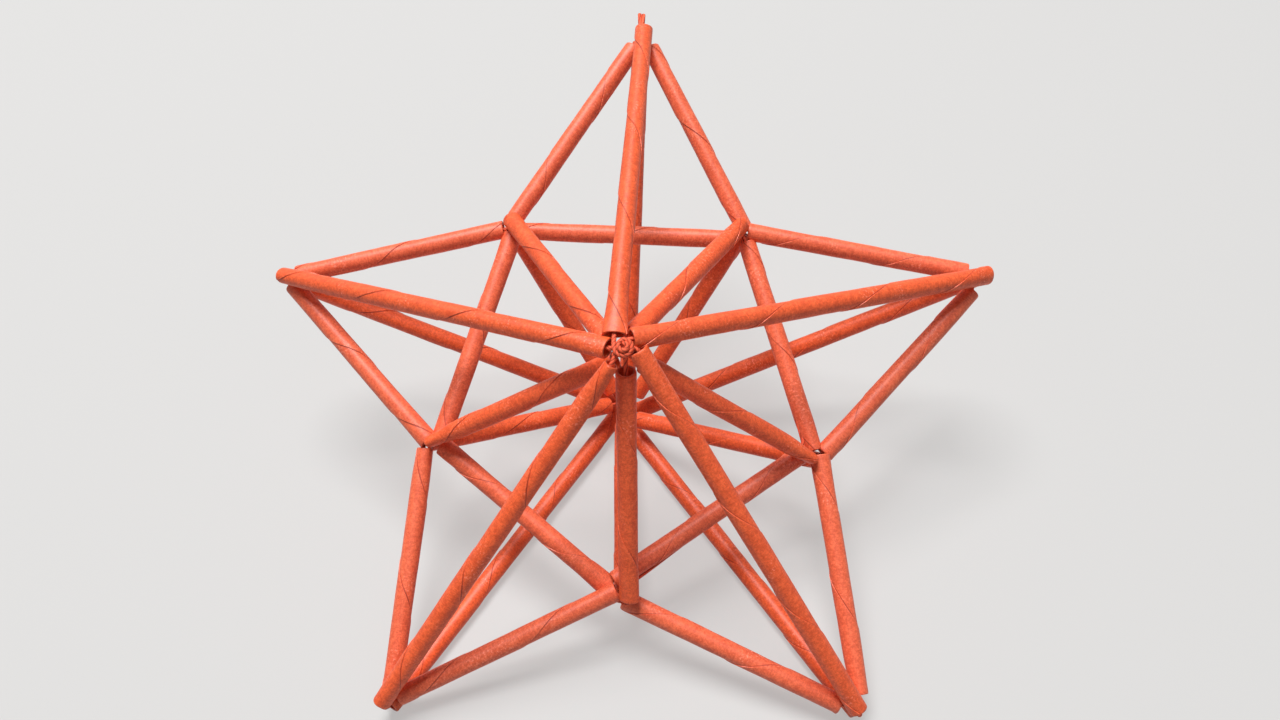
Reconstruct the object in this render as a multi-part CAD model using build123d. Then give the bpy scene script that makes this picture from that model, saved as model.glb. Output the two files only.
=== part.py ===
from build123d import *
import math
import os

# A hanging star of rolled paper tubes strung on one cord. Lengths are in millimetres, angles in degrees.
# The star is first worked out in its own plane: X to the right, Y to the top tip, Z to the front.
# Then it is laid on a table, on its back point and its two lowest tips, with Z up from the table.

tip_names = ["top", "right", "foot_right", "foot_left", "left"]
notch_names = ["shoulder_right", "waist_right", "base", "waist_left", "shoulder_left"]

# Rolled paper tubes; the long ones are cut to suit and come out at about 108
short_cut = 60.0
tube_diameter = 5.0
tube_wall = 0.5
paper_gap = 0.12

# How the square mouths lie at the joints, as shares of the tube's diameter
notch_side_share = 0.4
tip_overrun_share = 0.1
long_mouth_share = 0.65
long_whirl_share = 0.28
short_mouth_share = 1.1
short_whirl_share = 0.16
point_step_share = 1.7

# The front short tube at the base has slid sideways off its joint
base_slip = 3.4

# Cord
cord_diameter = 1.0
cord_gap = 0.25
cord_lead = 1.0
bend_reach = 2.0
bend_share = 0.45
tail_length = 8.0

# At the front point one pass of the cord winds round above the others, in shares of its diameter
coil_inner_share = 0.95
coil_outer_share = 2.15
coil_rise_share = 1.2
coil_lean_share = 0.5
coil_start = 57.0
coil_sweep = 240.0
coil_steps = 4

tube_radius = tube_diameter / 2
points = len(tip_names)
sector = 360 / points
half_sector = sector / 2
half_sine = math.sin(math.radians(half_sector))
half_cosine = math.cos(math.radians(half_sector))
base_notch = notch_names.index("base")
rim_steps = 24


def tip_angle(index):
    return 90 - sector * index


def notch_angle(index):
    return 90 - sector * index - half_sector


def at(angle, radial, side=0.0, height=0.0):
    """Point of the star: radial is along the joint's own line, side is anticlockwise from it."""
    outward = Vector(1, 0, 0).rotate(Axis.Z, angle)
    across = Vector(0, 1, 0).rotate(Axis.Z, angle)
    return outward * radial + across * side + Vector(0, 0, height)


def turned_over(mouths):
    """The same tube on the back, for the back is the front turned over about the upright line."""
    return tuple(Vector(-mouth.X, mouth.Y, -mouth.Z) for mouth in mouths)


def rim(mouths, end):
    """Points round one mouth's outer edge, and the mouth's centre."""
    along = mouths[1] - mouths[0]
    face = Plane(origin=mouths[end], z_dir=along)
    turns = [math.radians(360 / rim_steps * step) for step in range(rim_steps)]
    return [mouths[end]] + [
        face.from_local_coords(Vector(tube_radius * math.cos(turn), tube_radius * math.sin(turn), 0))
        for turn in turns
    ]


def outside(point, mouths):
    """How far a point lies outside a plain rod between two mouths, below zero if it is inside."""
    length = (mouths[1] - mouths[0]).length
    axis = (mouths[1] - mouths[0]).normalized()
    along = (point - mouths[0]).dot(axis)
    away = (point - mouths[0] - axis * along).length - tube_radius
    past = max(-along, along - length)
    return math.hypot(away, past) if min(away, past) > 0 else max(away, past)


def side_gap(one, other):
    """Gap between two rods where their sides cross, if they do."""
    first = one[1] - one[0]
    second = other[1] - other[0]
    apart = other[0] - one[0]
    normal = first.cross(second)
    size = normal.dot(normal)
    share = apart.cross(second).dot(normal) / size
    other_share = apart.cross(first).dot(normal) / size
    if 0 < share < 1 and 0 < other_share < 1:
        return abs(apart.dot(normal)) / math.sqrt(size) - tube_diameter
    return math.inf


def least_gap(mouths, others):
    gaps = []
    for other in others:
        gaps.append(side_gap(mouths, other))
        for end in (0, 1):
            gaps.extend(outside(point, other) for point in rim(mouths, end))
            gaps.extend(outside(point, mouths) for point in rim(other, end))
    return min(gaps)


def first_clear(start, place, others):
    """Smallest value from start on at which the placed tube clears the others by the paper gap."""
    low = start
    high = start + tube_radius
    while least_gap(place(high), others) < paper_gap:
        low = high
        high += tube_radius
    while high - low > paper_gap / rim_steps:
        middle = (low + high) / 2
        if least_gap(place(middle), others) < paper_gap:
            low = middle
        else:
            high = middle
    return high


# Belt: the inner ring of short tubes, whose mouths meet side by side at the notches
belt_sine = math.cos(math.radians(half_sector))
belt_cosine = math.sin(math.radians(half_sector))
belt_trim = (tube_radius * belt_cosine + paper_gap / 2) / belt_sine
belt_radius = (short_cut / 2 + belt_trim) / half_sine
belt_mouth_radius = belt_radius - belt_trim * belt_cosine
belt_mouth_side = belt_trim * belt_sine


def belt_tube(index):
    """Belt tube across the foot of one point, from its left notch to its right one."""
    return (
        at(notch_angle(index - 1), belt_mouth_radius, -belt_mouth_side),
        at(notch_angle(index), belt_mouth_radius, belt_mouth_side),
    )


# Outline: a point's two short tubes meet side by side at the tip and clear the belt at the notches
notch_side = notch_side_share * tube_diameter
notch_reach = (tube_radius + paper_gap - notch_side * half_sine) / half_cosine
lean_base = short_cut - tube_radius * half_sine / half_cosine
lean_span = (belt_radius + notch_reach) * half_sine - notch_side * half_cosine - paper_gap / 2
outline_lean = math.degrees(
    math.asin(lean_span / math.hypot(lean_base, tube_radius)) - math.atan2(tube_radius, lean_base)
)
lean_sine = math.sin(math.radians(outline_lean))
lean_cosine = math.cos(math.radians(outline_lean))
notch_radius = belt_radius + notch_reach + tube_radius * lean_sine / half_cosine
tip_mouth_side = tube_radius * lean_cosine + paper_gap / 2
tip_mouth_radius = notch_radius * half_cosine + notch_side * half_sine + short_cut * lean_cosine
tip_radius = (
    tip_mouth_radius
    + tip_mouth_side * lean_cosine / lean_sine
    + tip_overrun_share * tube_diameter
)


def outline_tube(index, side):
    """Outline tube of one point, from its tip to the notch on its right (side -1) or left (side 1)."""
    notch = notch_angle(index) if side < 0 else notch_angle(index - 1)
    return (
        at(tip_angle(index), tip_mouth_radius, side * tip_mouth_side),
        at(notch, notch_radius, -side * notch_side),
    )


# Short tubes of the front: each rides over the four mouths at its notch and leans in to the centre
short_mouth_radius = short_mouth_share * tube_diameter
short_whirl = short_whirl_share * tube_diameter


def front_short(index, notch_height, slip=0.0):
    run = math.hypot(notch_radius - short_mouth_radius, short_whirl - slip)
    rise = math.sqrt(short_cut**2 - run**2)
    return (
        at(notch_angle(index), notch_radius, slip, notch_height),
        at(notch_angle(index), short_mouth_radius, short_whirl, notch_height + rise),
    )


def notch_seat(index):
    return [
        outline_tube(index, -1),
        outline_tube(index + 1, 1),
        belt_tube(index),
        belt_tube(index + 1),
    ]


short_height = first_clear(0, lambda height: front_short(0, height), notch_seat(0))
slipped_height = first_clear(
    0, lambda height: front_short(base_notch, height, base_slip), notch_seat(base_notch)
)
short_mouth_height = front_short(0, short_height)[1].Z

# Long tubes of the front: each rides over its tip's two mouths and leans in over the short tubes
long_mouth_radius = long_mouth_share * tube_diameter
long_whirl = long_whirl_share * tube_diameter
long_mouth_height = short_mouth_height + point_step_share * tube_diameter


def front_long(index, height):
    return (
        at(tip_angle(index), tip_radius, 0, height),
        at(tip_angle(index), long_mouth_radius, long_whirl, long_mouth_height),
    )


tip_seat = [outline_tube(0, -1), outline_tube(0, 1)]
tip_height = first_clear(0, lambda height: front_long(0, height), tip_seat)

# All tubes by name, as the centres of their two mouths; the outer mouth comes first
tubes = {}
for index in range(points):
    tip = tip_names[index]
    notch = notch_names[index]
    slips = index == base_notch
    height = slipped_height if slips else short_height
    over_tip = -index
    over_notch = -index - 1
    tubes["front_long_" + tip] = front_long(index, tip_height)
    tubes["back_long_" + tip] = turned_over(front_long(over_tip, tip_height))
    tubes["front_short_" + notch] = front_short(index, height, base_slip if slips else 0)
    tubes["back_short_" + notch] = turned_over(front_short(over_notch, short_height))
    tubes["outline_right_" + tip] = outline_tube(index, -1)
    tubes["outline_left_" + tip] = outline_tube(index, 1)
    tubes["belt_" + tip] = belt_tube(index)

long_cut = (tubes["front_long_top"][1] - tubes["front_long_top"][0]).length
print("outline lean", round(outline_lean, 2), "notch", round(notch_radius, 2), "tip", round(tip_radius, 2))
print("seat heights: tip", round(tip_height, 2), "notch", round(short_height, 2), round(slipped_height, 2))
print("mouths at the front point:", round(short_mouth_height, 2), round(long_mouth_height, 2))
print("cuts", short_cut, round(long_cut, 2))


# Cord: one length through every tube once, from the top tip round and back to it


def beyond(name, end, lead):
    """Point on a tube's own line, outside the mouth at that end."""
    mouths = tubes[name]
    return mouths[end] + (mouths[end] - mouths[1 - end]).normalized() * lead


def until_side(name, end, angle, side):
    """Point on a flat tube's own line where it comes to the given side of a joint's radial line."""
    across = at(angle, 0, 1)
    near = beyond(name, end, 0)
    lead = (side - near.dot(across)) / (beyond(name, end, 1) - near).dot(across)
    return beyond(name, end, lead)


def apex_pass(short_name, long_name):
    """From a short tube's mouth up through the ring of long mouths and over into a long tube."""
    low = beyond(short_name, 1, 0)
    onward = (beyond(short_name, 1, 1) - low)
    flat = Vector(onward.X, onward.Y, 0)
    middle = -Vector(low.X, low.Y, 0).dot(flat) / flat.dot(flat)
    nearest = low + onward * middle
    short_of = math.sqrt(riser_radius**2 - nearest.X**2 - nearest.Y**2) / flat.length
    foot = nearest - onward * short_of
    crown = beyond(long_name, 1, cord_lead)
    head = Vector(foot.X, foot.Y, crown.Z - math.copysign(riser_drop, crown.Z))
    return [foot, head, crown]


def coiled(foot, head, crown):
    """The same pass with a clockwise turn round the front point before its long tube's mouth."""
    start = math.degrees(math.atan2(head.Y, head.X)) - coil_start
    rise = coil_rise_share * cord_diameter
    knee = Vector(head.X * coil_lean_share, head.Y * coil_lean_share, head.Z + rise / 2)
    corners = [foot, knee]
    for step in range(coil_steps + 1):
        share = step / coil_steps
        radius = (coil_inner_share + (coil_outer_share - coil_inner_share) * share) * cord_diameter
        corners.append(at(start - coil_sweep * share, radius, 0, crown.Z + rise))
    return corners + [crown]


neighbour_radius = (cord_diameter + cord_gap) / 2 / half_sine
long_slope = math.atan2(long_mouth_height - tip_height, tip_radius - long_mouth_radius)
ring_radius = long_mouth_radius - tube_radius * math.sin(long_slope) - paper_gap - cord_diameter / 2
riser_radius = (neighbour_radius + ring_radius) / 2
riser_drop = cord_gap
strand_step = cord_diameter + cord_gap

route = []
for index in range(points):
    tip = tip_names[index]
    notch = notch_names[index]
    after = tip_names[(index + 1) % points]
    front_pass = apex_pass("front_short_" + notch, "front_long_" + tip)
    if index > 0:
        route.append(beyond("back_long_" + tip, 0, cord_lead))
        route.append(beyond("front_long_" + tip, 0, cord_lead))
    else:
        route.append(beyond("front_long_" + tip, 0, tail_length))
        front_pass = coiled(*front_pass)
    route.extend(reversed(front_pass))
    fronts = beyond("front_short_" + notch, 0, cord_lead)
    backs = beyond("back_short_" + notch, 0, cord_lead)
    route.append(fronts)
    if index == base_notch:
        route.append(Vector(backs.X, backs.Y, fronts.Z - cord_lead))
    route.append(backs)
    route.extend(apex_pass("back_short_" + notch, "back_long_" + after))

# At the top tip the cord turns from the back long tube into the right side of the outline
top = tip_angle(0)
back_exit = beyond("back_long_top", 0, cord_lead)
route.append(back_exit)
route.append(at(top, back_exit.Y - cord_gap, -strand_step))
route.append(until_side("outline_right_top", 0, top, -strand_step))

# It goes once round the outline, and at the last notch once round the belt before the last tube
belt_side = (belt_mouth_side + strand_step / 2) / 2
for index in range(points - 1):
    tip = tip_names[index]
    after = tip_names[index + 1]
    route.append(until_side("outline_right_" + tip, 1, notch_angle(index), 0))
    route.append(beyond("outline_left_" + after, 0, cord_lead))
    route.append(beyond("outline_right_" + after, 0, cord_lead))
last = notch_angle(points - 1)
route.append(until_side("outline_right_left", 1, last, belt_side))
route.append(until_side("belt_left", 1, last, belt_side))
for index in range(points - 1, 0, -1):
    route.append(until_side("belt_" + tip_names[index], 0, notch_angle(index - 1), 0))
route.append(until_side("belt_top", 0, last, -belt_side))
route.append(until_side("outline_left_top", 1, last, -belt_side))

# Its two cut ends stand side by side at the top tip
first_end = route[0]
route.append(until_side("outline_left_top", 0, top, strand_step))
route.append(at(top, tip_radius, strand_step))
route.append(at(top, first_end.Y, strand_step, first_end.Z))

turns = []
bends = []
for before, corner, following in zip(route, route[1:], route[2:]):
    into = corner - before
    out_of = following - corner
    turn = into.get_angle(out_of)
    reach = min(bend_share * min(into.length, out_of.length), bend_reach)
    turns.append(turn)
    bends.append(reach / math.tan(math.radians(turn / 2)))
print("cord points", len(route), "sharpest turn", round(max(turns), 1), "degrees")
print("bend radii", [round(bend, 2) for bend in bends])

# Laid on the table: the plane through the lowest edge points of two feet and the back point
foot_groups = [
    ["back_long_foot_right", "outline_right_foot_right", "outline_left_foot_right"],
    ["back_long_foot_left", "outline_right_foot_left", "outline_left_foot_left"],
]
point_group = ["back_long_" + tip for tip in tip_names]
edges = [[point for name in group for point in rim(tubes[name], 0)] for group in foot_groups]
edges.append([point for name in point_group for point in rim(tubes[name], 1)])
upward = Vector(0, tip_mouth_radius / 2, tip_mouth_radius)
for settling in range(rim_steps):
    feet = [min(group, key=lambda point: point.dot(upward)) for group in edges]
    settled = (feet[1] - feet[0]).cross(feet[2] - feet[0]).normalized()
    upward = settled if settled.Z > 0 else -settled
table = Plane(origin=feet[0], x_dir=Vector(1, 0, 0).cross(upward).cross(upward) * -1, z_dir=upward)
print("tilt on the table", round(math.degrees(math.acos(upward.Z)), 2), "across", round(table.x_dir.Z, 3))


def tube_solid(mouths):
    along = mouths[1] - mouths[0]
    face = Plane(origin=mouths[0], z_dir=along)
    wall = Circle(tube_radius) - Circle(tube_radius - tube_wall)
    return extrude(face * wall, amount=along.length)


pieces = {name: tube_solid(mouths) for name, mouths in tubes.items()}
path = FilletPolyline(*route, radius=bends)
start_face = Plane(origin=path @ 0, z_dir=path % 0)
pieces["cord"] = sweep(start_face * Circle(cord_diameter / 2), path=path)
section = math.pi * (cord_diameter / 2) ** 2
print("cord length", round(path.length, 1), "volume", round(pieces["cord"].volume / section, 1))

laid = {name: table.to_local_coords(piece) for name, piece in pieces.items()}
boxes = [piece.bounding_box() for piece in laid.values()]
low = Vector(*(min(getattr(box.min, axis) for box in boxes) for axis in "XYZ"))
high = Vector(*(max(getattr(box.max, axis) for box in boxes) for axis in "XYZ"))
home = Pos(-(low.X + high.X) / 2, -(low.Y + high.Y) / 2, -low.Z)
print("size", [round(value, 1) for value in high - low])

os.makedirs("parts", exist_ok=True)
for name, piece in laid.items():
    export_step(home * piece, "parts/" + name + ".step")
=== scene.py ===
import math
import random

import bmesh
import bpy
import numpy as np
from mathutils import Matrix, Vector, noise


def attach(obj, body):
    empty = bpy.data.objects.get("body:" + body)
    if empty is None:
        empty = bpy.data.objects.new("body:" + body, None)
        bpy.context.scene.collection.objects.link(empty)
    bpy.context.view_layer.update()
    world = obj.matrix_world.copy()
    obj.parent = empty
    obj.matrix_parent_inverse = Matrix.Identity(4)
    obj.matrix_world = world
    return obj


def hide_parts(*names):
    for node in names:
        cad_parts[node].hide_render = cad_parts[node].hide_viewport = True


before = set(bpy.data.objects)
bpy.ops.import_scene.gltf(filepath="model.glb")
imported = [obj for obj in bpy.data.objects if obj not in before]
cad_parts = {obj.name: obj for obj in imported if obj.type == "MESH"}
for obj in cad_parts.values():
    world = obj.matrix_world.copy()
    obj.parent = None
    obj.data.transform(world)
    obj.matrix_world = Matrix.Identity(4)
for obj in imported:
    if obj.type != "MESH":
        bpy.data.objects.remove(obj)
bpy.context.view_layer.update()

bl_info = {
    "name": "Rolled Paper Star",
    "version": (1, 0, 0),
    "blender": (4, 5, 0),
    "location": "3D View > Sidebar > Paper Star",
    "description": "Dresses a strung star of rolled paper tubes",
    "category": "Object",
}

MM = 0.001
TIPS = ("top", "right", "foot_right", "foot_left", "left")
NOTCHES = ("shoulder_right", "waist_right", "base", "waist_left", "shoulder_left")
POINTS = len(TIPS)
TOP = 90.0
SECTOR = 360.0 / POINTS


# The star's own frame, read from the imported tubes


def packed_mouths(node):
    """Centres of a packed tube's two mouths, in metres, from the corners near its ends."""
    corners = np.array([vertex.co[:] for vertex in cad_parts[node].data.vertices])
    corners = np.unique(corners.round(7), axis=0)
    middle = corners.mean(axis=0)
    axis = np.linalg.svd(corners - middle, full_matrices=False)[2][0]
    along = (corners - middle) @ axis
    quarter = np.ptp(along) / 4
    low = corners[along < along.min() + quarter].mean(axis=0)
    high = corners[along > along.max() - quarter].mean(axis=0)
    return Vector(low), Vector(high)


def mean_of(points):
    return sum(points, Vector()) / len(points)


def star_frame():
    """The star's matrix, X right, Y to the top tip, Z to its front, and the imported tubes' mouths."""
    ends = {node: packed_mouths(node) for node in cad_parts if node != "cord"}
    centre = mean_of([end for node in ends if node.startswith("outline") for end in ends[node]])

    def from_centre(end):
        return (end - centre).length

    tips = [max(ends[node], key=from_centre) for node in ("front_long_top", "back_long_top")]
    peaks = [min(ends[node], key=from_centre) for node in ends if node.startswith("front_long")]
    up = (mean_of(tips) - centre).normalized()
    out = (mean_of(peaks) - centre).normalized()
    right = up.cross(out).normalized()
    up = out.cross(right)
    turn = Matrix((right, up, out)).transposed().to_4x4()
    return Matrix.Translation(centre) @ turn, ends


STAR, PACKED = star_frame()


def joint_of(node, end):
    """Name of the joint that a tube's mouth belongs to: a tip, a notch, or the front or back point."""
    side, _, rest = node.partition("_")
    if side in ("front", "back"):
        place = rest.partition("_")[2]
        return place if end == 0 else side
    if side == "outline":
        hand, _, tip = rest.partition("_")
        index = TIPS.index(tip)
        return tip if end == 0 else NOTCHES[index if hand == "right" else index - 1]
    index = TIPS.index(rest)
    return NOTCHES[index - 1 + end]


# How far the handmade joints stand off the regular star, in millimetres along the star's X, Y and Z
JOINT_DRIFT = {
    "top": (2.8, 0.9, 1.4),
    "right": (-0.3, 0.3, 0.6),
    "foot_right": (0.0, 0.4, 0.2),
    "foot_left": (1.4, -0.6, 0.2),
    "left": (0.0, -1.6, -1.0),
    "shoulder_right": (-0.6, -0.4, -0.9),
    "waist_right": (-1.2, -0.5, -1.1),
    "base": (-1.0, 0.7, 0.6),
    "waist_left": (1.0, 0.4, 0.3),
    "shoulder_left": (-0.4, 0.1, -0.3),
    "front": (0.3, 0.8, 0.6),
    "back": (-1.1, -0.4, 0.3),
}

# Single mouths that stand off their joint, in the same way
MOUTH_DRIFT = {
    ("outline_left_top", 0): (-0.9, 0.15, 0.0),
    ("outline_left_top", 1): (-0.25, 0.15, 0.0),
    ("outline_right_top", 0): (-0.3, 0.1, 0.0),
    ("outline_right_top", 1): (1.1, -1.3, -1.4),
    ("outline_left_right", 0): (0.0, 0.3, 0.0),
    ("outline_left_right", 1): (-1.5, -0.3, 1.2),
    ("outline_right_right", 0): (-0.4, -1.0, 0.0),
    ("outline_right_right", 1): (-0.2, -1.0, -1.0),
    ("outline_left_foot_right", 0): (1.3, 0.0, 0.0),
    ("outline_left_foot_right", 1): (-0.5, 2.2, 1.5),
    ("outline_right_foot_left", 0): (0.7, 0.0, 0.0),
    ("outline_right_foot_left", 1): (-1.0, 1.1, -0.8),
    ("outline_left_foot_left", 0): (-0.9, 0.1, 0.0),
    ("outline_left_foot_left", 1): (2.2, 2.1, 1.6),
    ("outline_left_left", 0): (0.5, 0.45, 0.0),
    ("outline_left_left", 1): (1.6, -1.0, 1.2),
    ("outline_right_left", 0): (0.0, -0.7, 0.0),
    ("outline_right_left", 1): (0.0, -0.85, 0.0),
    ("belt_top", 0): (0.0, 0.3, 0.0),
    ("belt_top", 1): (0.0, -0.6, 0.0),
    ("belt_right", 0): (1.15, 0.2, 0.0),
    ("belt_right", 1): (1.5, -1.1, -0.8),
    ("belt_foot_right", 0): (-0.5, 1.1, 0.0),
    ("belt_foot_right", 1): (-2.1, 0.3, -0.5),
    ("belt_foot_left", 0): (-0.4, -1.55, -1.3),
    ("belt_foot_left", 1): (-0.1, -0.1, 0.0),
    ("belt_left", 0): (0.45, 0.0, 0.0),
    ("belt_left", 1): (-0.4, 1.0, 0.0),
    ("front_short_shoulder_right", 0): (-1.9, -0.4, 0.0),
    ("front_short_shoulder_right", 1): (-0.3, 0.3, 0.0),
    ("front_short_waist_right", 0): (-3.5, -0.8, 0.0),
    ("front_short_waist_right", 1): (-0.3, -0.7, 0.0),
    ("front_short_base", 0): (0.1, 0.0, 0.0),
    ("front_short_base", 1): (0.4, 1.5, 0.6),
    ("front_short_waist_left", 0): (2.0, 0.6, 0.0),
    ("front_short_waist_left", 1): (3.4, 1.7, -2.2),
    ("front_short_shoulder_left", 0): (0.9, -0.2, 0.0),
    ("front_short_shoulder_left", 1): (0.2, 0.2, 0.0),
    ("front_long_top", 0): (0.0, 0.6, 0.0),
    ("front_long_right", 0): (0.1, -0.45, 0.0),
    ("front_long_right", 1): (0.0, -0.1, 0.0),
    ("front_long_foot_right", 0): (-0.3, 1.3, 0.0),
    ("front_long_foot_right", 1): (1.2, 1.3, 0.2),
    ("front_long_foot_left", 0): (-0.2, 1.0, 0.0),
    ("front_long_foot_left", 1): (-1.1, -0.4, -0.2),
    ("front_long_left", 0): (1.9, -1.2, 0.4),
    ("front_long_left", 1): (0.7, 0.3, 0.0),
    ("back_long_top", 0): (-1.2, -0.6, 0.0),
    ("back_long_top", 1): (-1.8, 0.0, 0.0),
    ("back_long_right", 0): (-0.5, 0.9, 0.0),
    ("back_long_right", 1): (0.0, 1.0, 0.0),
    ("back_long_foot_right", 0): (0.2, 0.1, 0.0),
    ("back_long_foot_right", 1): (-0.6, -0.45, 0.0),
    ("back_long_foot_left", 0): (0.5, -0.4, 0.0),
    ("back_long_foot_left", 1): (-0.5, 0.3, 0.0),
    ("back_long_left", 0): (2.6, -0.9, 0.0),
    ("back_long_left", 1): (0.0, -0.5, 1.3),
    ("back_short_shoulder_right", 0): (-1.1, 0.2, 0.0),
    ("back_short_shoulder_right", 1): (-0.9, 0.0, 0.0),
    ("back_short_waist_right", 0): (0.0, -0.7, 0.0),
    ("back_short_waist_right", 1): (-1.5, -1.2, 0.0),
    ("back_short_base", 0): (1.8, 0.0, 0.0),
    ("back_short_base", 1): (-0.2, 0.0, 0.0),
    ("back_short_waist_left", 0): (0.0, 1.0, 0.0),
    ("back_short_waist_left", 1): (0.0, 1.4, 0.0),
    ("back_short_shoulder_left", 1): (-1.6, 0.0, 0.0),
}


def tube_line(node):
    """A tube's two mouths in the star's frame, outer or anticlockwise one first, with the drift added."""
    inward = STAR.inverted()
    first, last = (inward @ end for end in PACKED[node])
    if node.startswith("belt"):
        swap = first.cross(last).z > 0
    else:
        swap = first.length < last.length
    ends = [last, first] if swap else [first, last]
    for end in (0, 1):
        ends[end] += Vector(JOINT_DRIFT[joint_of(node, end)]) * MM
        ends[end] += Vector(MOUTH_DRIFT.get((node, end), (0, 0, 0))) * MM
    return ends


TUBES = {node: tube_line(node) for node in sorted(PACKED)}

# Where a tube's seam crosses the middle of its upper side, as a share of its length from the outer mouth
SEAM_SHARE = {
    "front_long_top": 0.118,
    "outline_left_top": 0.27,
    "back_long_left": 0.23,
    "front_long_right": 0.375,
    "front_long_foot_right": 0.28,
    "front_short_shoulder_right": 0.58,
    "front_short_shoulder_left": 0.32,
    "back_short_waist_left": 0.45,
    "back_long_foot_right": 0.45,
    "outline_left_foot_left": 0.67,
    "outline_right_left": 0.44,
    "outline_right_top": 0.47,
    "outline_left_right": 0.30,
    "belt_right": 0.51,
    "belt_foot_left": 0.74,
    "belt_foot_right": 0.7,
}

# Mouths squashed more than most: how flat, how the wide side lies in degrees from the side in view,
# and how much the cut slopes
MOUTH_SQUASH = {
    ("front_short_waist_left", 0): (0.34, 0.0, 0.0),
    ("front_short_waist_right", 0): (0.34, 0.0, 0.0),
    ("front_short_shoulder_right", 0): (0.12, 20.0, 0.0),
    ("front_short_base", 0): (0.16, 60.0, 0.0),
    ("front_short_base", 1): (0.05, 90.0, -0.38),
    ("front_long_left", 0): (0.10, 10.0, 0.0),
    ("front_long_foot_left", 1): (0.30, 0.0, 0.0),
    ("front_long_top", 0): (0.03, 90.0, 0.4),
    ("front_long_top", 1): (0.42, 96.0, 0.0),
    ("front_long_right", 1): (0.12, 90.0, 0.0),
    ("front_long_left", 1): (0.20, 60.0, 0.0),
    ("belt_foot_left", 0): (0.25, 80.0, 0.0),
    ("outline_left_left", 0): (0.03, 90.0, 0.0),
}


# Sizes and colours


def length_setting(name, description, default):
    return bpy.props.FloatProperty(name=name, description=description, default=default, unit="LENGTH")


def colour_setting(name, description, default):
    return bpy.props.FloatVectorProperty(
        name=name, description=description, default=default, subtype="COLOR"
    )


def place_setting(name, description, default):
    return bpy.props.FloatVectorProperty(
        name=name, description=description, default=default, subtype="XYZ"
    )


class StarTubeSettings(bpy.types.PropertyGroup):
    """The rolled paper tubes."""

    radius: length_setting("Radius", "Outer radius", 2.51 * MM)
    wall: length_setting("Wall", "Paper wall", 0.62 * MM)
    step: length_setting("Seam step", "Height of the paper's edge", 0.18 * MM)
    pitch: length_setting("Seam pitch", "Length of one turn of the seam", 30 * MM)
    pinch: length_setting("Mouth pinch", "How far the mouths are drawn in", 0.2 * MM)
    rounding: length_setting("Mouth rounding", "Length of the rounding at a mouth", 0.55 * MM)
    spacing: length_setting("Ring spacing", "Length of one ring of faces", 1.3 * MM)
    sides: bpy.props.IntProperty(name="Sides", description="Faces round a tube", default=44)
    colour: colour_setting("Paper", "Paper colour", (0.90, 0.121, 0.024))
    seed: bpy.props.IntProperty(name="Seed", description="Seed of the small irregularities", default=7)


class StarCordSettings(bpy.types.PropertyGroup):
    """The cord that strings the tubes."""

    diameter: length_setting("Diameter", "Cord diameter", 1.2 * MM)
    gap: length_setting("Gap", "Least room between two passes", 0.15 * MM)
    lead: length_setting("Lead", "How far the cord runs straight out of a mouth", 1.0 * MM)
    tail: length_setting("Tail", "Length of the cut ends", 5.7 * MM)
    lay: length_setting("Lay", "Length of one twist", 3.4 * MM)
    sides: bpy.props.IntProperty(name="Sides", description="Faces round the cord", default=15)
    colour: colour_setting("Cord", "Cord colour", (0.82, 0.105, 0.036))


class StarStageSettings(bpy.types.PropertyGroup):
    """Floor, lamps and camera."""

    floor: colour_setting("Floor", "Floor colour", (0.465, 0.465, 0.46))
    key_power: bpy.props.FloatProperty(
        name="Key", description="Power of the large lamp", default=51.0, unit="POWER"
    )
    fill_power: bpy.props.FloatProperty(
        name="Fill", description="Power of the fill lamp", default=2.0, unit="POWER"
    )
    sky: bpy.props.FloatProperty(name="Sky", description="Strength of the even light", default=0.12)
    lens: bpy.props.FloatProperty(name="Lens", description="Focal length in millimetres", default=28.125)
    eye: place_setting("Camera", "Camera place in the star's frame", (0.01215, -0.05113, 0.26878))
    target: place_setting("Target", "Point looked at, in the star's plane", (0.00371, 0.00731, 0.0))
    roll: bpy.props.FloatProperty(
        name="Roll", description="Turn of the camera", default=0.0238, subtype="ANGLE"
    )


# Shader maths


class Value:
    """A shader socket. Python's operators on it add Math nodes."""

    def __init__(self, shader, socket):
        self.shader = shader
        self.socket = socket

    def __add__(self, other):
        return self.shader.maths("ADD", self, other)

    def __mul__(self, other):
        return self.shader.maths("MULTIPLY", self, other)

    def __radd__(self, other):
        return self.shader.maths("ADD", other, self)

    def __rsub__(self, other):
        return self.shader.maths("SUBTRACT", other, self)

    def __rmul__(self, other):
        return self.shader.maths("MULTIPLY", other, self)

    def between(self, low, high):
        """0 where this is under low, 1 over high, and smooth between."""
        inputs = {"Value": self, "From Min": low, "From Max": high}
        return self.shader.node("ShaderNodeMapRange", {"interpolation_type": "SMOOTHSTEP"}, inputs)


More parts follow.
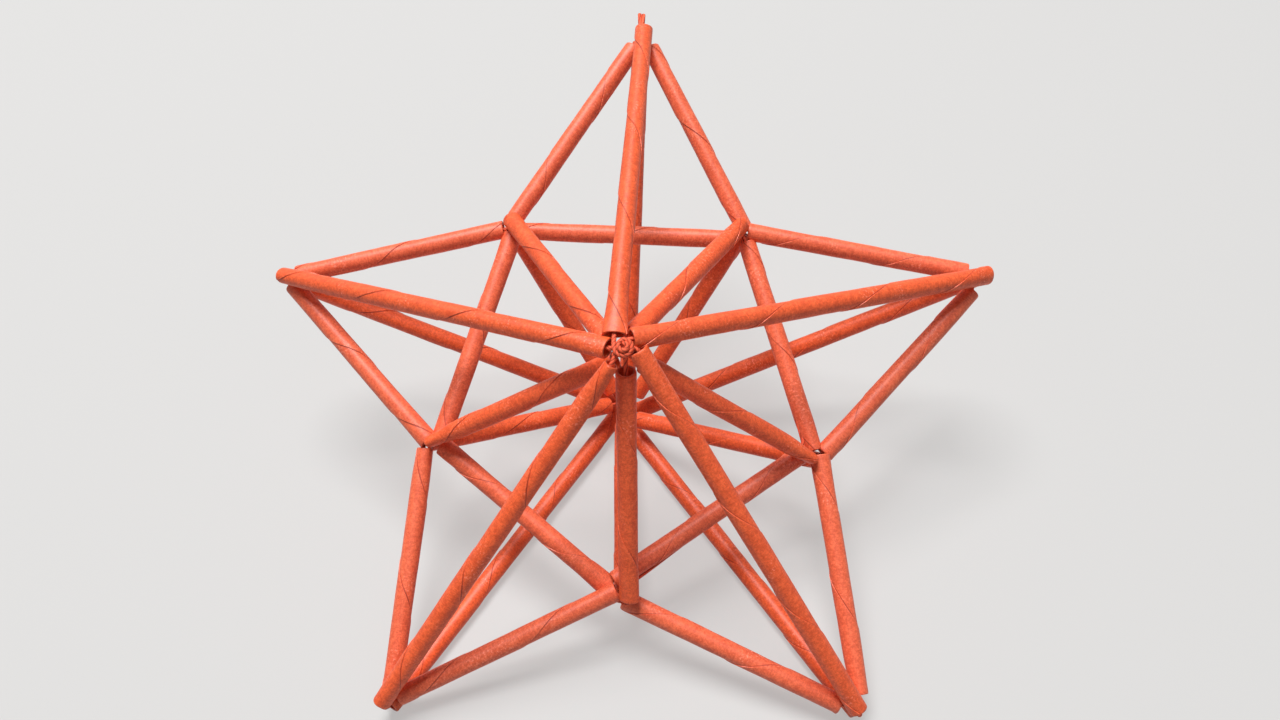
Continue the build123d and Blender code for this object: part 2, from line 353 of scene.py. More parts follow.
class Shader:
    """Nodes under construction, of a material or of the world."""

    def __init__(self, holder):
        self.holder = holder
        holder.use_nodes = True
        self.tree = holder.node_tree
        self.tree.nodes.clear()

    def node(self, kind, settings, inputs, output=0):
        """Adds a node, sets it up, feeds its sockets and returns one of its outputs."""
        made = self.tree.nodes.new(kind)
        for key, value in settings.items():
            setattr(made, key, value)
        for key, value in inputs.items():
            if isinstance(value, Value):
                self.tree.links.new(value.socket, made.inputs[key])
            else:
                made.inputs[key].default_value = value
        return None if output is None else Value(self, made.outputs[output])

    def maths(self, operation, *values):
        """Result of a Math node, from sockets or numbers."""
        return self.node("ShaderNodeMath", {"operation": operation}, dict(enumerate(values)))

    def map_of(self, name):
        return self.node("ShaderNodeUVMap", {"uv_map": name}, {})

    def noise(self, where, scale, detail=2.0, roughness=0.5):
        """Noise from 0 to 1, its scale in cells to a metre."""
        inputs = {"Vector": where, "Scale": scale, "Detail": detail, "Roughness": roughness}
        return self.node("ShaderNodeTexNoise", {}, inputs, "Fac")

    def stretched(self, where, scale):
        return self.node("ShaderNodeMapping", {}, {"Vector": where, "Scale": scale})

    def part_of(self, where, axis):
        return self.node("ShaderNodeSeparateXYZ", {}, {"Vector": where}, axis)

    def mix(self, share, first, second):
        return self.node("ShaderNodeMix", {"data_type": "RGBA"}, {0: share, 6: first, 7: second}, 2)

    def seen_plainly(self):
        """1 for what the camera sees, straight or in a mirror or glass, else 0."""
        camera, glossy, clear = (
            self.node("ShaderNodeLightPath", {}, {}, name)
            for name in ("Is Camera Ray", "Is Glossy Ray", "Is Transmission Ray")
        )
        return self.maths("MAXIMUM", camera, self.maths("MAXIMUM", glossy, clear))

    def surface(self, colour, roughness, height, depth, shine):
        bump = self.node("ShaderNodeBump", {}, {"Strength": 1.0, "Distance": depth, "Height": height})
        inputs = {
            "Base Color": colour,
            "Roughness": roughness,
            "Normal": bump,
            "Specular IOR Level": shine,
        }
        return self.node("ShaderNodeBsdfPrincipled", {}, inputs)

    def blended(self, share, first, second):
        return self.node("ShaderNodeMixShader", {}, {0: share, 1: first, 2: second})

    def ended(self, kind, surface):
        """Feeds the surface to the output and returns what holds the nodes."""
        self.node(kind, {}, {"Surface": surface}, None)
        return self.holder

    def material(self, colour, roughness, height, depth, shine):
        surface = self.surface(colour, roughness, height, depth, shine)
        return self.ended("ShaderNodeOutputMaterial", surface)


def tint(colour, factor, shift=0.0):
    """A colour made darker or lighter, and a little paler by shift, as red, green, blue and 1."""
    return tuple(min(1.0, part * factor + shift) for part in colour) + (1.0,)


# How much faster green and blue darken than red, as paper does in its own shade; used for the paper's
# dark grain and specks, and for the painted shadow along the seam
REDDENING = 1.7


def deeper(colour, factor):
    """A colour made darker and redder, as red, green, blue and 1."""
    faint = factor**REDDENING
    return (colour[0] * factor, colour[1] * faint, colour[2] * faint, 1.0)


def paper_finish(name, colour):
    """Fibrous, specked craft paper, with a painted shadow line where a turn's edge lies on the last, and
    a painted highlight along that raised edge.
    """
    paper = Shader(bpy.data.materials.new(name))
    where = paper.map_of("Paper")
    seam = paper.map_of("Seam")
    across = paper.part_of(seam, 0)
    layer = paper.part_of(seam, 1)
    cloud = paper.noise(where, 160.0)
    patch = paper.noise(where, 620.0, 3.0, 0.6)
    grain = paper.noise(where, 1500.0, 3.0, 0.65)
    fibre = paper.noise(paper.stretched(where, (1.0, 0.25, 1.0)), 3800.0, 2.0, 0.6)
    cross_fibre = paper.noise(paper.stretched(where, (0.25, 1.0, 1.0)), 3100.0, 2.0, 0.6)
    tone = cloud * 0.35 + patch * 0.7 + grain * 0.9 + fibre * 0.4 + cross_fibre * 0.4
    mottled = paper.mix(tone.between(1.1, 1.68), deeper(colour, 0.74), tint(colour, 1.14, 0.014))
    speck = paper.noise(where, 2100.0).between(0.57, 0.67)
    specked = paper.mix(speck * 0.42, mottled, deeper(colour, 0.62))
    scuff_place = paper.noise(where, 110.0, 1.0, 0.4).between(0.55, 0.68)
    scuff = paper.noise(where, 1500.0, 3.0, 0.7).between(0.57, 0.64) * scuff_place
    scuffed = paper.mix(scuff * 0.75, specked, tint(colour, 1.0, 0.2))
    # Painted highlight along the raised edge of the seam's step, broken up by the grain, where the paper
    # is also a little paler and frayed
    lip_highlight = across.between(0.955, 0.99) * grain.between(0.4, 0.6)
    lip_highlighted = paper.mix(lip_highlight * 0.3, scuffed, tint(colour, 1.1, 0.08))
    # Painted shadow: a dark line on the low side of the seam's step, where the raised edge of the turn
    # above shades the paper; its strength wavers along the tube
    seam_shadow = 1.0 - across.between(0.01, 0.026)
    seam_shadow_strength = 0.24 + 0.6 * paper.noise(where, 75.0).between(0.36, 0.6)
    seam_shaded = paper.mix(seam_shadow * seam_shadow_strength, lip_highlighted, deeper(colour, 0.34))
    ply = paper.node(
        "ShaderNodeTexWave",
        {"wave_type": "BANDS", "bands_direction": "Y"},
        {"Vector": seam, "Scale": 2.4, "Distortion": 1.2, "Detail": 1.0},
        "Fac",
    )
    cut = layer.between(0.1, 0.3) * (1.0 - layer.between(0.9, 0.99))
    cut_colour = paper.mix(ply, tint(colour, 0.85, 0.02), tint(colour, 1.1, 0.13))
    finished = paper.mix(cut * 0.8, seam_shaded, cut_colour)
    height = patch * 0.5 + grain * 0.5 + fibre * 0.3 + cross_fibre * 0.3 + ply * cut * 0.8
    return paper.material(finished, 0.41 + 0.12 * grain, height, 0.08 * MM, 0.5)


# Strands in the cord
STRANDS = 3


def cord_finish(name, colour):
    """Twisted cotton cord, with painted shade in the grooves between its strands and a slight painted
    highlight on their crowns.
    """
    cord = Shader(bpy.data.materials.new(name))
    where = cord.map_of("Strand")
    strand = cord.part_of(where, 0) * float(STRANDS)
    fibre = cord.noise(cord.stretched(where, (9.0, 900.0, 1.0)), 1.0, 3.0, 0.6)
    ridge = cord.maths("PINGPONG", strand, 0.5) * 2.0
    # Painted shade: much darker in the grooves between the strands, a little lighter on their crowns
    body = cord.mix(ridge.between(0.0, 0.6), tint(colour, 0.42), tint(colour, 1.1, 0.02))
    worn = cord.mix(fibre.between(0.45, 0.8) * 0.35, body, tint(colour, 1.15, 0.08))
    return cord.material(worn, 0.62 + 0.1 * fibre, fibre, 0.05 * MM, 0.3)


# How much of the floor's tone the camera sees as plain white paper, so that shadows on it stay pale
FLOOR_GLOW = 0.46
FLOOR_WHITE = (0.94, 0.925, 0.915, 1.0)
LIGHT_TONE = (1.0, 0.99, 0.98, 1.0)
BACKDROP_TONE = (0.82, 0.81, 0.80, 1.0)


def floor_finish(colour):
    """Plain pale floor with pale shadows."""
    floor = Shader(bpy.data.materials.new("pale_floor"))
    where = floor.node("ShaderNodeTexCoord", {}, {}, "Object")
    cloud = floor.noise(where, 5.0)
    clouded = floor.mix(cloud, tint(colour, 0.985), tint(colour, 1.0))
    lit = floor.surface(clouded, 0.75 + 0.05 * cloud, cloud, 0.0, 0.2)
    glow = floor.node("ShaderNodeEmission", {}, {"Color": FLOOR_WHITE, "Strength": 1.0})
    shown = floor.blended(floor.seen_plainly() * FLOOR_GLOW, lit, glow)
    return floor.ended("ShaderNodeOutputMaterial", shown)


def sky_finish(strength):
    """Even light on the object, and a pale backdrop where the camera looks past the floor."""
    sky = Shader(bpy.data.worlds.new("even_light"))
    light = sky.node("ShaderNodeBackground", {}, {"Color": LIGHT_TONE, "Strength": strength})
    backdrop = sky.node("ShaderNodeBackground", {}, {"Color": BACKDROP_TONE, "Strength": 1.0})
    return sky.ended("ShaderNodeOutputWorld", sky.blended(sky.seen_plainly(), light, backdrop))


# Tubes


# How far along a tube its squashed mouth and its sloping cut can be felt
SQUASH_REACH = 6.5 * MM
SLOPE_REACH = 1.5 * MM

# How much wider a squashed mouth gets, as a share of how much narrower it gets
SQUASH_SPREAD = 0.55

# Waver of the seam, in turns, and its changes to a metre
WAVER = 0.035
WAVER_SCALE = 140

# Lumps in the paper, their changes to a metre along the tube, and their spread all over it
LUMP = 0.05 * MM
LUMP_SCALE = 260
LUMP_SPREAD = 0.9

# Heights above a mouth of the rings outside and inside a tube
MOUTH_RINGS = [height * MM for height in (0.02, 0.1, 0.24, 0.45, 0.8, 1.4, 2.2, 3.2)]
INNER_RINGS = [height * MM for height in (0.1, 1.5, 4.0, 9.0)]

# Where a mouth's face starts at the outer side and stops short of the inner one
FACE_START = 0.1 * MM
FACE_STOP = 0.08 * MM

# Width of the paper's edge, as a share of the way round a tube
EDGE_SHARE = 0.005


def fading(distance, reach):
    """1 at a mouth, fading out along the tube within about the given reach."""
    return math.exp(-((distance / reach) ** 2))


class Roll:
    """Shape of one rolled tube, as the place of any point on it."""

    def __init__(self, settings, node, length, luck):
        self.settings = settings
        self.length = length
        self.fatness = luck.uniform(0.985, 1.035)
        self.taper = luck.uniform(-0.02, 0.02)
        self.origin = Vector((luck.uniform(0, 90), luck.uniform(0, 90), luck.uniform(0, 90)))
        share = SEAM_SHARE.get(node, luck.uniform(0, 1))
        self.start_turn = share * length / settings.pitch
        self.mouths = []
        for end in (0, 1):
            common = (luck.uniform(0.03, 0.12), luck.uniform(0, 180), luck.uniform(-0.05, 0.05))
            squash, lie, slope = MOUTH_SQUASH.get((node, end), common)
            self.mouths.append((squash, math.radians(lie), slope, luck.uniform(0.7, 1.3)))

    def turn(self, height):
        """Turns of the seam at a height, left-handed and with a slight waver."""
        waver = noise.noise(self.origin + Vector((0, 0, height * WAVER_SCALE))) * WAVER
        return self.start_turn - height / self.settings.pitch + waver

    def size(self, angle, height):
        """Radius of the lumpy, slightly tapered tube at an angle and a height."""
        size = self.settings.radius * self.fatness * (1 + self.taper * (height / self.length - 0.5))
        where = Vector((math.cos(angle), math.sin(angle), height * LUMP_SCALE)) * LUMP_SPREAD
        return size + noise.noise(self.origin + where) * LUMP

    def shaped(self, place, end, gap):
        """A point moved by the rounding, squash and slope of a mouth at the given gap from it."""
        squash, lie, slope, softness = self.mouths[end]
        if gap < self.settings.rounding:
            bend = 1 - gap / self.settings.rounding
            tuck = self.settings.pinch * softness * (1 - math.sqrt(max(0.0, 1 - bend**2)))
            place.xy *= 1 - tuck / self.settings.radius
        flat = squash * fading(gap, SQUASH_REACH)
        wide = Vector((math.cos(lie), math.sin(lie), 0))
        narrow = Vector((-wide.y, wide.x, 0))
        along = place.dot(wide)
        over = place.dot(narrow)
        place += wide * along * flat * SQUASH_SPREAD - narrow * over * flat
        place.z += slope * place.x * fading(gap, SLOPE_REACH)
        return place

    def point(self, share, height, inset=0.0, turn=None):
        """Place at a share of the way round from the seam, deeper in the wall by inset.

        A point on the outside is stepped at the seam. One on the inner wall has a fixed turn and no step.
        """
        stepped = turn is None
        angle = math.tau * (share + (self.turn(height) if stepped else turn))
        size = self.size(angle, height) - inset
        if stepped:
            size += (share - 0.5) * self.settings.step
        place = Vector((size * math.cos(angle), size * math.sin(angle), height))
        for end, gap in enumerate((height, self.length - height)):
            place = self.shaped(place, end, gap)
        return place


def ring_heights(length, spacing):
    """Heights of the rings: close together at the mouths, evenly spaced between."""
    inner = length - 2 * MOUTH_RINGS[-1]
    steps = max(2, round(inner / spacing))
    middle = [MOUTH_RINGS[-1] + inner * step / steps for step in range(1, steps)]
    return MOUTH_RINGS + middle + [length - height for height in reversed(MOUTH_RINGS)]


def ring_after(bm, edges):
    """Extrudes a ring of edges once and returns the new ring's vertices and edges."""
    made = bmesh.ops.extrude_edge_only(bm, edges=edges)["geom"]
    verts = [item for item in made if isinstance(item, bmesh.types.BMVert)]
    rim = [item for item in made if isinstance(item, bmesh.types.BMEdge) and item.is_boundary]
    return verts, rim


def paper_walls(settings, roll):
    """Outer wall, the two mouths and the inner wall, with each vertex's share, height and layer."""
    bm = bmesh.new()
    share = bm.verts.layers.float.new("share")
    height = bm.verts.layers.float.new("height")
    layer = bm.verts.layers.float.new("layer")
    sides = settings.sides
    first = bmesh.ops.create_circle(bm, segments=sides, radius=settings.radius, cap_ends=False)["verts"]
    for index, vert in enumerate(first):
        vert[share] = index / (sides - 1) * (1 - EDGE_SHARE)
    first_edges = list(bm.edges)

    def place(verts, at, inset=0.0, through=0.0, turn=None):
        for vert in verts:
            vert[height] = at
            vert[layer] = through
            vert.co = roll.point(vert[share], at, inset, turn)

    length = roll.length
    heights = ring_heights(length, settings.spacing)
    place(first, heights[0])
    edges = first_edges
    for at in heights[1:]:
        ring, edges = ring_after(bm, edges)
        place(ring, at)
    wall = settings.wall
    rims = ((FACE_START, 0.2), (wall / 2, 0.5), (wall - FACE_STOP, 0.85))
    for inset, through in rims:
        ring, edges = ring_after(bm, edges)
        place(ring, length, inset, through)
    far_turn = roll.turn(length)
    inner_heights = [length - depth for depth in INNER_RINGS] + INNER_RINGS[:0:-1]
    for at in inner_heights:
        ring, edges = ring_after(bm, edges)
        place(ring, at, wall, 1.0, far_turn)
    rim_edges = first_edges
    for inset, through in rims:
        ring, rim_edges = ring_after(bm, rim_edges)
        place(ring, 0.0, inset, through)
    ring, rim_edges = ring_after(bm, rim_edges)
    place(ring, INNER_RINGS[0], wall, 1.0, roll.turn(0.0))
    bmesh.ops.bridge_loops(bm, edges=edges + rim_edges)
    bmesh.ops.recalc_face_normals(bm, faces=bm.faces)
    return bm


def corner_shares(face, share):
    """Each corner of a face, its share of the way round, and whether it closes the ring there."""
    shares = [loop.vert[share] for loop in face.loops]
    wraps = max(shares) - min(shares) > 0.5
    return [(loop, part, wraps and part < 0.5) for loop, part in zip(face.loops, shares)]


def map_paper(bm, settings, roll, slide):
    """Lays the paper's map and the seam's map on a tube, and keeps the paper's edge sharp."""
    share = bm.verts.layers.float["share"]
    height = bm.verts.layers.float["height"]
    layer = bm.verts.layers.float["layer"]
    paper_map = bm.loops.layers.uv.new("Paper")
    seam_map = bm.loops.layers.uv.new("Seam")
    round_size = math.tau * settings.radius
    for face in bm.faces:
        face.smooth = True
        for loop, part, closes in corner_shares(face, share):
            if closes:
                part = 1.0
            at = loop.vert[height]
            loop[paper_map].uv = (round_size * (part + roll.turn(at)) + slide.x, at + slide.y)
            loop[seam_map].uv = (part, loop.vert[layer])
    for edge in bm.edges:
        shares = [vert[share] for vert in edge.verts]
        on_edge = max(shares) < EDGE_SHARE or min(shares) > 1 - 1.1 * EDGE_SHARE
        outside = all(vert[layer] < 0.1 for vert in edge.verts)
        if on_edge and outside:
            edge.smooth = False


def facing_turn(ends, eye):
    """Turn that stands a tube along its line, with its X side to the eye."""
    along = (ends[1] - ends[0]).normalized()
    facing = eye - (ends[0] + ends[1]) / 2
    facing = (facing - along * facing.dot(along)).normalized()
    return Matrix((facing, along.cross(facing), along)).transposed().to_4x4()


def mesh_of(name, bm):
    mesh = bpy.data.meshes.new(name)
    bm.to_mesh(mesh)
    bm.free()
    return mesh


def roll_tube(settings, node, ends, eye, luck):
    """A tube of rolled paper with a stepped spiral seam, open mouths and an inner wall."""
    roll = Roll(settings, node, (ends[1] - ends[0]).length, luck)
    bm = paper_walls(settings, roll)
    slide = Vector((luck.uniform(0, 0.5), luck.uniform(0, 0.5)))
    map_paper(bm, settings, roll, slide)
    bm.transform(STAR @ Matrix.Translation(ends[0]) @ facing_turn(ends, eye))
    return mesh_of(node, bm)


def add_piece(name, mesh, material, node):
    """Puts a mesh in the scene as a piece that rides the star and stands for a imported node."""
    piece = bpy.data.objects.new(name, mesh)
    bpy.context.scene.collection.objects.link(piece)
    mesh.materials.clear()
    mesh.materials.append(material)
    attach(piece, "root")
    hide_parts(node)


# How much paler the paper of the flat tubes is drawn, a painted light for their upper sides that face the
# lamp above
FLAT_TUBE_LIGHT = 0.035


def shared_finish(name, maker, colour):
    """The material of that name, made once."""
    return bpy.data.materials.get(name) or maker(name, colour)


def add_tubes(context, kinds, finish, lit_paleness=0.0):
    """Rolls the tubes of the given kinds, of paper that is paler by the given share; that paleness is
    painted light.
    """
    settings = context.scene.star_tubes
    eye = Vector(context.scene.star_stage.eye)
    material = shared_finish(finish, paper_finish, tint(settings.colour, 1.0, lit_paleness)[:3])
    nodes = [node for node in TUBES if node.startswith(kinds)]
    if not nodes:
        raise RuntimeError("The packed star has no tubes of the kinds " + ", ".join(kinds))
    for node in nodes:
        luck = random.Random(f"{settings.seed} {node}")
        mesh = roll_tube(settings, node, TUBES[node], eye, luck)
        add_piece("paper_" + node, mesh, material, node)


# Cord


# The turns of the cord above the front point, in shares of its diameter and in degrees
COIL_INNER = 0.55
COIL_OUTER = 2.0
COIL_CROWN = 1.8
COIL_FOOT = 0.85
COIL_DROP = 1.5
COIL_START = 57.0
COIL_SWEEP = 600.0
COIL_STEPS = 20
COIL_ASIDE = 1.0 * MM

# Side at which the outline and the belt hand the cord over at the last notch
BELT_SIDE = 1.08 * MM

# How far the two cut ends lie apart, in shares of the cord's diameter, how much further the second
# reaches than the first, and how far both lean to the side
TAIL_APART = 0.94
TAIL_SPARE = 0.2 * MM
TAIL_ASIDE = 0.6 * MM

# How far from the star's axis the cord rises through the ring of long mouths
RISER_RADIUS = 1.4 * MM

# How far from a mouth the cord's next point lies in the tube, in diameters, and the shortest stretch
# with such points, as a multiple of that
EDGE_REACH = 6
LONG_STRETCH = 4

# Points read from the smooth curve to each of its own
CURVE_STEPS = 9

# The cord's radius in its hollows and what its strands add, as shares of its full radius, and the most
# that it twists from one ring to the next, in turns
HOLLOW = 0.93
BULGE = 0.09
MOST_TWIST = 0.08


def notch_angle(index):
    return TOP - SECTOR * index - SECTOR / 2


def star_point(angle, radial, side=0.0, height=0.0):
    """Point in the star's frame, radial along a joint's own line and side anticlockwise from it."""
    turn = Matrix.Rotation(math.radians(angle), 3, "Z")
    return turn @ Vector((radial, side, height))


def beyond(node, end, lead):
    """Point on a tube's own line, outside the mouth at that end."""
    ends = TUBES[node]
    return ends[end] + (ends[end] - ends[1 - end]).normalized() * lead


def until_side(node, end, angle, side, joint):
    """Point on a flat tube's own line where it comes to the given side of its joint's radial line."""
    across = star_point(angle, 0.0, 1.0)
    near = beyond(node, end, 0.0) - Vector(JOINT_DRIFT[joint]) * MM
    step = beyond(node, end, 1.0) - beyond(node, end, 0.0)
    lead = (side - near.dot(across)) / step.dot(across)
    return beyond(node, end, lead)


def apex_pass(settings, short_node, long_node, peak):
    """From a short tube's mouth up through the ring of long mouths and over into a long tube."""
    shift = Vector(JOINT_DRIFT[peak]) * MM
    low = beyond(short_node, 1, 0.0) - shift
    onward = beyond(short_node, 1, 1.0) - beyond(short_node, 1, 0.0)
    flat = Vector((onward.x, onward.y, 0.0))
    middle = -Vector((low.x, low.y, 0.0)).dot(flat) / flat.dot(flat)
    nearest = low + onward * middle
    spare = max(RISER_RADIUS**2 - nearest.x**2 - nearest.y**2, 0.0)
    foot = nearest - onward * (math.sqrt(spare) / flat.length)
    crown = beyond(long_node, 1, settings.lead)
    head_height = crown.z - shift.z - math.copysign(settings.gap, crown.z)
    head = Vector((foot.x, foot.y, head_height))
    return [foot + shift, head + shift, crown]


def coiled(settings, foot, head, crown, peak):
    """The same pass with clockwise turns over the front point, low and wide at their end."""
    shift = Vector(JOINT_DRIFT[peak]) * MM
    from_axis = head - shift
    start = math.degrees(math.atan2(from_axis.y, from_axis.x)) - COIL_START
    corners = [foot, head]
    shift.x += COIL_ASIDE
    for step in range(COIL_STEPS + 1):
        share = step / COIL_STEPS
        radius = (COIL_INNER + (COIL_OUTER - COIL_INNER) * share) * settings.diameter
        rise = (COIL_CROWN + (COIL_FOOT - COIL_CROWN) * share**COIL_DROP) * settings.diameter
        height = crown.z - shift.z + rise
        corners.append(star_point(start - COIL_SWEEP * share, radius, 0.0, height) + shift)
    return corners + [crown]


def spokes_route(settings):
    """From the first cut end through the long and short tubes, front and back in turn."""
    route = []
    for index in range(POINTS):
        tip = TIPS[index]
        notch = NOTCHES[index]
        after = TIPS[(index + 1) % POINTS]
        front_pass = apex_pass(settings, "front_short_" + notch, "front_long_" + tip, "front")
        if index > 0:
            route.append(beyond("back_long_" + tip, 0, settings.lead))
            route.append(beyond("front_long_" + tip, 0, settings.lead))
        else:
            route.append(beyond("front_long_" + tip, 0, settings.tail) - Vector((TAIL_ASIDE, 0, 0)))
            front_pass = coiled(settings, *front_pass, "front")
        route.extend(reversed(front_pass))
        fronts = beyond("front_short_" + notch, 0, settings.lead)
        backs = beyond("back_short_" + notch, 0, settings.lead)
        route.append(fronts)
        if notch == "base":
            route.append(Vector((backs.x, backs.y, fronts.z - settings.lead)))
        route.append(backs)
        route.extend(apex_pass(settings, "back_short_" + notch, "back_long_" + after, "back"))
    return route


def outline_route(settings, step):
    """From the top tip's back tube clockwise through the outline to the last notch."""
    shift = Vector(JOINT_DRIFT["top"]) * MM
    back_exit = beyond("back_long_top", 0, settings.lead)
    route = [back_exit]
    route.append(star_point(TOP, back_exit.y - shift.y - settings.gap, -step) + shift)
    route.append(until_side("outline_right_top", 0, TOP, -step, "top"))
    for index in range(POINTS - 1):
        after = TIPS[index + 1]
        notch = NOTCHES[index]
        route.append(until_side("outline_right_" + TIPS[index], 1, notch_angle(index), 0.0, notch))
        route.append(beyond("outline_left_" + after, 0, settings.lead))
        route.append(beyond("outline_right_" + after, 0, settings.lead))
    route.append(until_side("outline_right_left", 1, notch_angle(POINTS - 1), BELT_SIDE, NOTCHES[-1]))
    return route


def belt_route(step):
    """From the last notch anticlockwise through the belt, then the last outline tube to the top."""
    last = notch_angle(POINTS - 1)
    route = [until_side("belt_left", 1, last, BELT_SIDE, NOTCHES[-1])]
    for index in range(POINTS - 1, 0, -1):
        notch = NOTCHES[index - 1]
        route.append(until_side("belt_" + TIPS[index], 0, notch_angle(index - 1), 0.0, notch))
    route.append(until_side("belt_top", 0, last, -BELT_SIDE, NOTCHES[-1]))
    route.append(until_side("outline_left_top", 1, last, -BELT_SIDE, NOTCHES[-1]))
    route.append(until_side("outline_left_top", 0, TOP, step, "top"))
    return route


def cord_route(settings):
    """Corners of the cord's route, from the first cut end at the top tip to the second."""
    step = settings.diameter + settings.gap
    route = spokes_route(settings) + outline_route(settings, step) + belt_route(step)
    beside = Vector((-settings.diameter * TAIL_APART, TAIL_SPARE, 0.0))
    route.append(beyond("front_long_top", 0, 0.0) + beside)
    route.append(route[0] + beside)
    return route


def with_near_points(route, edge_reach):
    """Adds points on each straight stretch in a tube, near its mouths.

    Beside a run under half as long, the point lies as far from the corner as that run's own end.
    """
    lengths = [(after - before).length for before, after in zip(route, route[1:])]
    points = [route[0]]
    for index, length in enumerate(lengths):
        onward = (route[index + 1] - route[index]) / length
        reaches = []
        for beside in (index - 1, index + 1):
            short = 0 <= beside < len(lengths) and lengths[beside] < length / 2
            reaches.append(min(lengths[beside], edge_reach) if short else edge_reach)
        if length > LONG_STRETCH * edge_reach:
            points.append(route[index] + onward * reaches[0])
            points.append(route[index + 1] - onward * reaches[1])
        points.append(route[index + 1])
    return points


def smooth_line(points):
    """Points read from a smooth curve that has the given points as its control points."""
    curve = bpy.data.curves.new("cord_line", "CURVE")
    curve.dimensions = "3D"
    spline = curve.splines.new("NURBS")
    spline.points.add(len(points) - 1)
    for target, point in zip(spline.points, points):
        target.co = (*point, 1.0)
    spline.order_u = 3
    spline.use_endpoint_u = True
    spline.resolution_u = CURVE_STEPS
    holder = bpy.data.objects.new("cord_line", curve)
    bpy.context.scene.collection.objects.link(holder)
    bpy.context.view_layer.update()
    evaluated = holder.evaluated_get(bpy.context.evaluated_depsgraph_get())
    line = bpy.data.meshes.new_from_object(evaluated)
    places = [vertex.co.copy() for vertex in line.vertices]
    bpy.data.objects.remove(holder)
    bpy.data.curves.remove(curve)
    bpy.data.meshes.remove(line)
    return places


def twisted_tube(name, places, settings):
    """A cord of twisted strands along the given places, closed at both ends."""
    bm = bmesh.new()
    share = bm.verts.layers.float.new("share")
    travel = bm.verts.layers.float.new("travel")
    radius = settings.diameter / 2
    ring = bmesh.ops.create_circle(bm, segments=settings.sides, radius=radius, cap_ends=False)["verts"]
    for index, vert in enumerate(ring):
        vert[share] = index / settings.sides
    edges = list(bm.edges)
    gone = 0.0
    twist = 0.0
    side = Vector((1, 0, 0))
    for index, place in enumerate(places):
        ahead = places[min(index + 1, len(places) - 1)] - places[max(index - 1, 0)]
        ahead.normalize()
        side = (side - ahead * side.dot(ahead)).normalized()
        other = ahead.cross(side)
        if index > 0:
            step = (place - places[index - 1]).length
            gone += step
            twist += min(step / settings.lay, MOST_TWIST) * math.tau
            ring, edges = ring_after(bm, edges)
        for vert in ring:
            angle = math.tau * vert[share]
            size = radius * (HOLLOW + BULGE * abs(math.sin(STRANDS / 2 * angle)))
            turned = angle + twist
            vert.co = place + (side * math.cos(turned) + other * math.sin(turned)) * size
            vert[travel] = gone
    bmesh.ops.contextual_create(bm, geom=edges)
    bmesh.ops.contextual_create(bm, geom=[edge for edge in bm.edges if edge.is_boundary])
    bmesh.ops.recalc_face_normals(bm, faces=bm.faces)
    strand_map = bm.loops.layers.uv.new("Strand")
    for face in bm.faces:
        face.smooth = len(face.verts) == 4
        for loop, part, closes in corner_shares(face, share):
            if closes:
                part += 1.0
            loop[strand_map].uv = (part, loop.vert[travel])
    bm.transform(STAR)
    return mesh_of(name, bm)


# Operators


class StarOperator:
    """What every operator shares."""

    bl_options = {"REGISTER", "UNDO"}


class STAR_OT_long_tubes(StarOperator, bpy.types.Operator):
    """Roll the long tubes of the front and the back"""

    bl_idname = "star.long_tubes"
    bl_label = "Long tubes"

    def execute(self, context):
        add_tubes(context, ("front_long", "back_long"), "rolled_paper")
        return {"FINISHED"}


class STAR_OT_short_tubes(StarOperator, bpy.types.Operator):
    """Roll the short tubes that lean in to the front and back points"""

    bl_idname = "star.short_tubes"
    bl_label = "Short tubes"

    def execute(self, context):
        add_tubes(context, ("front_short", "back_short"), "rolled_paper")
        return {"FINISHED"}


class STAR_OT_outline_tubes(StarOperator, bpy.types.Operator):
    """Roll the tubes of the star's outline"""

    bl_idname = "star.outline_tubes"
    bl_label = "Outline tubes"

    def execute(self, context):
        # Paler paper: painted light on the outline tubes' upper sides
        add_tubes(context, ("outline",), "faded_paper", FLAT_TUBE_LIGHT)
        return {"FINISHED"}


class STAR_OT_belt_tubes(StarOperator, bpy.types.Operator):
    """Roll the tubes of the inner ring"""

    bl_idname = "star.belt_tubes"
    bl_label = "Belt tubes"

    def execute(self, context):
        # Paler paper: painted light on the belt tubes' upper sides
        add_tubes(context, ("belt",), "faded_paper", FLAT_TUBE_LIGHT)
        return {"FINISHED"}


class STAR_OT_cord(StarOperator, bpy.types.Operator):
    """String the cord through every tube"""

    bl_idname = "star.cord"
    bl_label = "Cord"

    def execute(self, context):
        settings = context.scene.star_cord
        points = with_near_points(cord_route(settings), EDGE_REACH * settings.diameter)
        mesh = twisted_tube("cord", smooth_line(points), settings)
        material = shared_finish("twisted_cord", cord_finish, settings.colour[:])
        add_piece("strung_cord", mesh, material, "cord")
        return {"FINISHED"}


# Size of the floor, and the lamps' places, sizes and the point they shine at
FLOOR_SIZE = 4.0
KEY_PLACE = (-0.35, 0.5, 1.9)
KEY_SIZE = 1.0
FILL_PLACE = (0.9, -0.9, 1.3)
FILL_SIZE = 1.2
LIT_POINT = (0, 0, 0.03)

SENSOR_WIDTH = 36.0
NEAR_CLIP = 0.01


def lay_floor(scene, settings):
    bm = bmesh.new()
    bmesh.ops.create_grid(bm, x_segments=1, y_segments=1, size=FLOOR_SIZE)
    mesh = mesh_of("floor", bm)
    mesh.materials.append(floor_finish(settings.floor[:]))
    floor = bpy.data.objects.new("floor", mesh)
    scene.collection.objects.link(floor)


def add_lamp(scene, name, place, size, power):
    lamp = bpy.data.lights.new(name, "AREA")
    lamp.shape = "DISK"
    lamp.size = size
    lamp.energy = power
    holder = bpy.data.objects.new(name, lamp)
    scene.collection.objects.link(holder)
    holder.location = place
    holder.rotation_euler = (Vector(LIT_POINT) - Vector(place)).to_track_quat("-Z", "Y").to_euler()


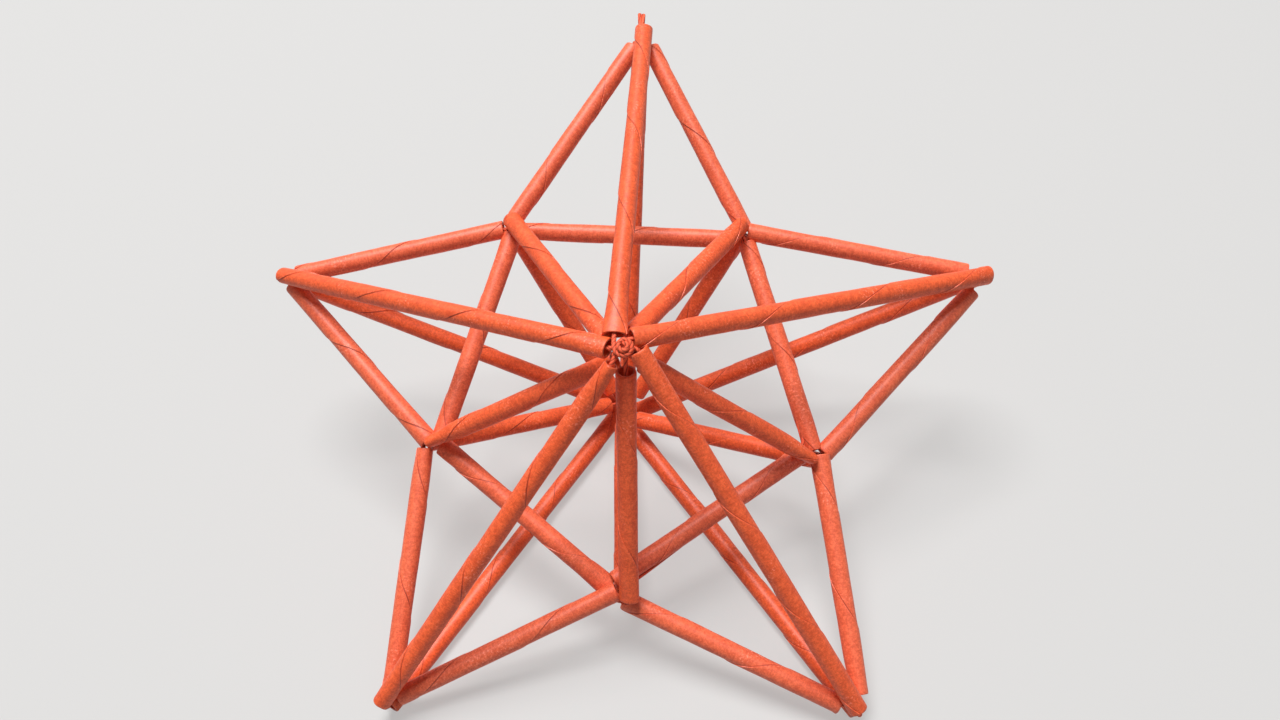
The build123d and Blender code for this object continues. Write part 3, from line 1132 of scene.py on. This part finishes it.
def aim_camera(scene, settings):
    """Camera where the photograph was taken, in the star's frame."""
    camera = bpy.data.cameras.new("camera")
    camera.sensor_width = SENSOR_WIDTH
    camera.lens = settings.lens
    camera.clip_start = NEAR_CLIP
    holder = bpy.data.objects.new("camera", camera)
    scene.collection.objects.link(holder)
    eye = Vector(settings.eye)
    away = (eye - Vector(settings.target)).normalized()
    right = Vector((0, 1, 0)).cross(away).normalized()
    up = away.cross(right)
    roll = Matrix.Rotation(settings.roll, 4, "Z")
    turn = Matrix((right, up, away)).transposed().to_4x4()
    holder.matrix_world = STAR @ Matrix.Translation(eye) @ turn @ roll
    scene.camera = holder


class STAR_OT_stage(StarOperator, bpy.types.Operator):
    """Lay the floor, and set the lamps and the camera"""

    bl_idname = "star.stage"
    bl_label = "Stage"

    def execute(self, context):
        scene = context.scene
        settings = scene.star_stage
        lay_floor(scene, settings)
        add_lamp(scene, "key_lamp", KEY_PLACE, KEY_SIZE, settings.key_power)
        add_lamp(scene, "fill_lamp", FILL_PLACE, FILL_SIZE, settings.fill_power)
        scene.world = sky_finish(settings.sky)
        scene.view_settings.view_transform = "Standard"
        aim_camera(scene, settings)
        return {"FINISHED"}


class STAR_PT_panel(bpy.types.Panel):
    """Sizes, colours and the pieces in the order in which they are made"""

    bl_idname = "STAR_PT_panel"
    bl_label = "Paper Star"
    bl_space_type = "VIEW_3D"
    bl_region_type = "UI"
    bl_category = "Paper Star"

    def draw(self, context):
        layout = self.layout
        for group in (context.scene.star_tubes, context.scene.star_cord, context.scene.star_stage):
            box = layout.box()
            for name in group.__annotations__:
                box.prop(group, name)
        for operator in MAKERS:
            layout.operator(operator.bl_idname)


MAKERS = (
    STAR_OT_stage,
    STAR_OT_cord,
    STAR_OT_outline_tubes,
    STAR_OT_belt_tubes,
    STAR_OT_short_tubes,
    STAR_OT_long_tubes,
)
CLASSES = (StarTubeSettings, StarCordSettings, StarStageSettings, *MAKERS, STAR_PT_panel)


def register():
    for each in CLASSES:
        bpy.utils.register_class(each)
    bpy.types.Scene.star_tubes = bpy.props.PointerProperty(type=StarTubeSettings)
    bpy.types.Scene.star_cord = bpy.props.PointerProperty(type=StarCordSettings)
    bpy.types.Scene.star_stage = bpy.props.PointerProperty(type=StarStageSettings)


def unregister():
    del bpy.types.Scene.star_stage
    del bpy.types.Scene.star_cord
    del bpy.types.Scene.star_tubes
    for each in reversed(CLASSES):
        bpy.utils.unregister_class(each)


def main():
    register()
    bpy.ops.star.stage()
    bpy.ops.star.cord()
    bpy.ops.star.outline_tubes()
    bpy.ops.star.belt_tubes()
    bpy.ops.star.short_tubes()
    bpy.ops.star.long_tubes()


if __name__ == "__main__":
    main()
